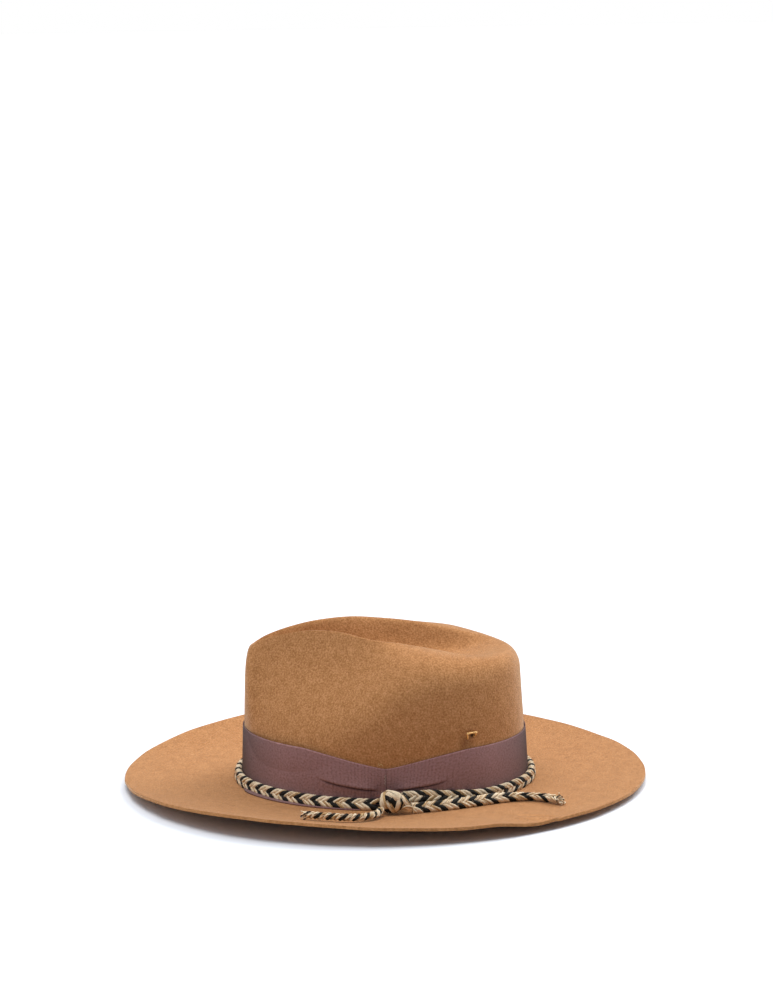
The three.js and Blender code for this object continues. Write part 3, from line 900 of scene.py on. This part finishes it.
loop_yarns = list(
    herringbone(loop_route, loop_face, 0.84 * BRAID_WIDTH, BRAID_THICKNESS, loop_lead, seed=80)
)
braid = mesh_of_yarns("braid_strands", loop_yarns, jute_dyes, seed=4)
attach(braid, "root")
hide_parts("braid_loop")


# Knot: the ends of the braid cross and turn round each other in a loose overhand knot. It is
# drawn strand by strand in its own frame: along the ribbon to the back, outward and up.
KNOT_CENTRE = np.array([0.0955, 0.0165, 0.0098])
KNOT_AXES = np.array([(-0.136, 0.9907, 0.0), (0.9907, 0.136, 0.0), (0.0, 0.0, 1.0)])
KNOT_CORE = np.array([0.0068, 0.0064, 0.005])
CORE_TURNS = 13
KNOT_STEP = [0.00077, 0.00096, 0.00084]
KNOT_YARN_SPACING = 0.00078

# Each strand: colour, number of yarns, and its way through the knot, counted in knot steps.
KNOT_STRANDS = [
    (NATURAL, 4, [(-6, -3, 6), (-8, 2, 6.8), (-8.6, 7, 4), (-7.2, 9.4, 0), (-5, 8.6, -3.5), (-2, 5, -6)]),
    (NATURAL, 4, [(-5, 3, 7.2), (-2.5, 7, 7.2), (1.2, 8.8, 5.6), (4.5, 8.6, 3.4), (7.4, 6, 1), (9, 2, -1)]),
    (BLACK, 5, [(-4.2, 6.4, 6.0), (-2, 9.4, 4.2), (0.2, 10, 1.2), (1.6, 9.4, -2), (2.6, 6.4, -5)]),
    (NATURAL, 4, [(-4.6, 7.4, 2.6), (-3.2, 9.9, 0), (-1.4, 10.2, -3), (0.4, 9.6, -5.6), (2, 7, -7)]),
    (NATURAL, 4, [(6.6, 7, 4.2), (5.2, 9.4, 1.6), (4.4, 10, -1.6), (3, 9.4, -4.6), (1, 7.4, -7)]),
    (NATURAL, 4, [(9.6, 0, 5.4), (9.4, 4.6, 4), (8.8, 7.2, 0.6), (7.4, 7.4, -2.6), (5, 5, -6)]),
    (BLACK, 4, [(8.8, 3, 6), (8.2, 7.6, 3), (6.6, 9, -0.6), (5.2, 8.2, -4), (3, 5, -6.6)]),
    (NATURAL, 4, [(-4, -5, 6.8), (0, 0, 7.6), (4.6, 4, 6.6), (8, 5.4, 4.4), (10, 4, 1)]),
    (BLACK, 4, [(-7.6, 4.4, -1), (-6.4, 7.6, -4.2), (-4, 8.4, -6.2), (-1, 7, -7.4)]),
    (NATURAL, 4, [(6.5, 3, 6.5), (9, 6.6, 4.2), (11.6, 8, 0.6), (14.4, 7.2, -3)]),
    (BLACK, 4, [(10, 1, 6.4), (12.2, 5, 3.4), (13.6, 7, -0.6), (14.6, 6.4, -4)]),
    (NATURAL, 4, [(8, 4, -5.6), (10.4, 8.2, -3.6), (13, 8.6, -3.4), (16, 7.4, -4.6)]),
    (NATURAL, 4, [(-9.6, -2, 3), (-10, 2.4, 2), (-9.6, 5.4, -1.6), (-8, 6, -4.4), (-5, 4, -6.6)]),
]

turns = np.linspace(0, 1, 420)
ball = np.stack(
    [
        -np.cos(math.pi * turns),
        np.sin(math.pi * turns) * np.cos(2 * math.pi * CORE_TURNS * turns),
        np.sin(math.pi * turns) * np.sin(2 * math.pi * CORE_TURNS * turns),
    ],
    axis=1,
)


def strap(places, face, count, spacing, dye, seed):
    """Yarns laid side by side as one flat strand along a smooth way."""
    chance = np.random.default_rng(seed)
    line = smooth_route(places, 0.0007)
    along = unit(np.gradient(line, axis=0))
    across = unit(np.cross(face(line), along))
    out = np.cross(along, across)
    for j in range(count):
        aside = j - (count - 1) / 2
        shift = aside * spacing + waver(len(line), 0.00007, seed * 11 + j, 5)
        drop = 0.00012 * aside**2 + waver(len(line), 0.00006, seed * 13 + j, 5)
        yield line + across * shift[:, None] - out * drop[:, None], dye or straw(chance)


def knot_face(line):
    """Way that the strands face at each point: out of the knot."""
    return unit((line - KNOT_CENTRE) @ KNOT_AXES.T * [0.5, 1, 1]) @ KNOT_AXES


knot_yarns = [(KNOT_CENTRE + ball * (KNOT_CORE - YARN_RADIUS) @ KNOT_AXES, BLACK)]
for k, (dye, count, way) in enumerate(KNOT_STRANDS):
    places = KNOT_CENTRE + np.array(way) * KNOT_STEP @ KNOT_AXES
    knot_yarns += strap(places, knot_face, count, KNOT_YARN_SPACING, dye, seed=200 + k)
knot = mesh_of_yarns("knot_strands", knot_yarns, jute_dyes, seed=5)
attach(knot, "root")
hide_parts("braid_knot")


# Staple: a bent brass wire driven into the crown above the ribbon; a long slanting leg in front,
# a straight bar on top and a short leg behind. The felt is pressed in a little under it.
STAPLE_ANGLE = math.radians(132)
STAPLE_HEIGHT = 0.0485
STAPLE_WIRE = 0.0007

# Way of the wire: along the wall to the back, out of it, and up from the middle of the bar.
STAPLE_WAY = [
    (-0.0018, 0.0004, -0.0046),
    (-0.0026, 0.0024, -0.0034),
    (-0.0034, 0.0033, -0.0008),
    (-0.0032, 0.0035, 0.0),
    (0.0032, 0.0035, 0.0),
    (0.0037, 0.0031, -0.0006),
    (0.0036, 0.0022, -0.0022),
    (0.0034, 0.0004, -0.0032),
]

staple_turn = np.array([STAPLE_ANGLE])
staple_out = unit(oval_point(staple_turn, 1.0, 0.0) - oval_point(staple_turn, 0.0, 0.0))[0]
staple_along = np.array([-staple_out[1], staple_out[0], 0])
staple_stand = wall_offset(staple_turn, np.array([STAPLE_HEIGHT]))[0]
staple_hold = oval_point(staple_turn, staple_stand, STAPLE_HEIGHT)[0]
staple_points = smooth_route(
    [
        staple_hold + along * staple_along + out * staple_out + np.array([0, 0, up])
        for along, out, up in STAPLE_WAY
    ],
    step=0.0003,
)

brass, nodes, links, shader = new_material("brass")
place = nodes.new("ShaderNodeTexCoord")
tarnish = nodes.new("ShaderNodeTexNoise")
tarnish.inputs["Scale"].default_value = 900
links.new(place.outputs["Object"], tarnish.inputs["Vector"])
colour = colour_steps(
    nodes, links, tarnish.outputs["Fac"], [(0.3, (0.5, 0.25, 0.07)), (0.6, (0.95, 0.6, 0.24))]
)
links.new(colour, shader.inputs["Base Color"])
shader.inputs["Metallic"].default_value = 0.75
shader.inputs["Roughness"].default_value = 0.32
staple = mesh_of_yarns("staple_wire", [(staple_points, 0)], [brass], STAPLE_WIRE, seed=6)
staple.data.shade_smooth()
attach(staple, "root")
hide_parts("brass_staple")


# Threads and fibres: a light tacking stitch down the ribbon's seam, two loose thread ends at it
# and short jute fibres that stand out of the braid, the knot and the tails.
THREAD_RADIUS = 0.00016
FIBRE_RADIUS = 0.00006
FIBRE_COUNT = 420

# Spots on each thread: degrees from the front, height, and how far it stands off the ribbon.
STITCHES = [(96.1 + 0.25 * (-1) ** k, 0.0175 + 0.0011 * k, 0.0006) for k in range(7)]
GOLD_END = [(95.4, 0.03, 0.0006), (94.7, 0.0318, 0.0014), (93.9, 0.0309, 0.0018), (93.6, 0.0322, 0.001)]
RED_END = [(93.9, 0.0116, 0.0022), (93.3, 0.0106, 0.003), (92.7, 0.0112, 0.0034)]


def on_ribbon(degree, height, stand):
    turn, tall = np.array([math.radians(degree)]), np.array([height])
    return oval_point(turn, wall_offset(turn, tall) + RIBBON_THICKNESS + stand, tall)[0]


def thread_material(name, colour):
    material, nodes, links, shader = new_material(name)
    place = nodes.new("ShaderNodeTexCoord")
    fibre = nodes.new("ShaderNodeTexNoise")
    fibre.inputs["Scale"].default_value = 2500
    links.new(place.outputs["Object"], fibre.inputs["Vector"])
    pale = colour_steps(
        nodes, links, fibre.outputs["Fac"], [(0.3, [0.6 * c for c in colour]), (0.7, colour)]
    )
    links.new(pale, shader.inputs["Base Color"])
    shader.inputs["Roughness"].default_value = 0.7
    return material


pale_thread = thread_material("pale_thread", (0.62, 0.5, 0.42))
gold_thread = thread_material("gold_thread", (0.75, 0.5, 0.2))
red_thread = thread_material("red_thread", (0.5, 0.14, 0.08))
threads = [
    (smooth_route([on_ribbon(*spot) for spot in way], step=0.0004), dye)
    for dye, way in enumerate((STITCHES, GOLD_END, RED_END))
]
thread_dyes = [pale_thread, gold_thread, red_thread]
seam_threads = mesh_of_yarns("seam_threads", threads, thread_dyes, THREAD_RADIUS, seed=7)
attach(seam_threads, "root")

chance = np.random.default_rng(8)
hairs = []
sources = [points for points, _ in loop_yarns + flat_yarns + thin_yarns + knot_yarns * 3]
for _ in range(FIBRE_COUNT):
    points = sources[chance.integers(len(sources))]
    start = points[chance.integers(1, len(points) - 1)]
    aim = unit(unit(start * [1, 1, 0]) * 0.8 + [0, 0, 0.45] + chance.normal(0, 0.6, 3))
    reach = aim * chance.uniform(0.0009, 0.0026)
    bend = unit(chance.normal(0, 1, 3)) * 0.0005
    dye = BLACK if chance.random() < 0.2 else NATURAL
    hairs.append((np.array([start, start + reach * 0.5 + bend, start + reach]), dye))
fibres = mesh_of_yarns("loose_fibres", hairs, jute_dyes, FIBRE_RADIUS, seed=9)
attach(fibres, "root")


# Floor and light: a plain white table under broad soft lights, brighter from both ends of the
# hat and from above than from the camera's side.
floor_mesh = bpy.data.meshes.new("floor")
ground = bmesh.new()
bmesh.ops.create_grid(ground, x_segments=1, y_segments=1, size=300)
ground.to_mesh(floor_mesh)
ground.free()
floor = bpy.data.objects.new("floor", floor_mesh)
bpy.context.scene.collection.objects.link(floor)
paper, nodes, links, shader = new_material("white_table")
shader.inputs["Base Color"].default_value = (0.82, 0.86, 0.92, 1)
shader.inputs["Roughness"].default_value = 0.9
floor.data.materials.append(paper)

world = bpy.data.worlds.new("studio")
world.use_nodes = True
nodes, links = world.node_tree.nodes, world.node_tree.links
heading = nodes.new("ShaderNodeTexCoord")
behind = nodes.new("ShaderNodeVectorMath")
behind.operation = "DOT_PRODUCT"
behind.inputs[1].default_value = (-0.9, 0.1, 0.42)
links.new(heading.outputs["Generated"], behind.inputs[0])
white = colour_steps(
    nodes,
    links,
    behind.outputs["Value"],
    [(0.0, (0.085, 0.1, 0.13)), (0.25, (0.28, 0.3, 0.33)), (0.6, (0.9, 0.9, 0.9)), (0.8, (1, 1, 1))],
)
links.new(white, nodes["Background"].inputs["Color"])
nodes["Background"].inputs["Strength"].default_value = 1.0
bpy.context.scene.world = world


def wide_light(name, heading, spread, strength):
    """A distant softbox: even light from one side over a wide angle."""
    lamp = bpy.data.lights.new(name, "SUN")
    lamp.angle = math.radians(spread)
    lamp.energy = strength
    box = bpy.data.objects.new(name, lamp)
    box.location = Vector(heading) * 2
    box.rotation_mode = "QUATERNION"
    box.rotation_quaternion = Vector(heading).to_track_quat("Z", "Y")
    bpy.context.scene.collection.objects.link(box)


wide_light("top_light", (0.0, -0.1, 1.0), 36, 1.8)
wide_light("back_light", (-0.6, 0.45, 0.7), 40, 2.0)
wide_light("fill_light", (0.45, -0.65, 0.6), 70, 0.5)
bpy.context.scene.view_settings.view_transform = "Standard"
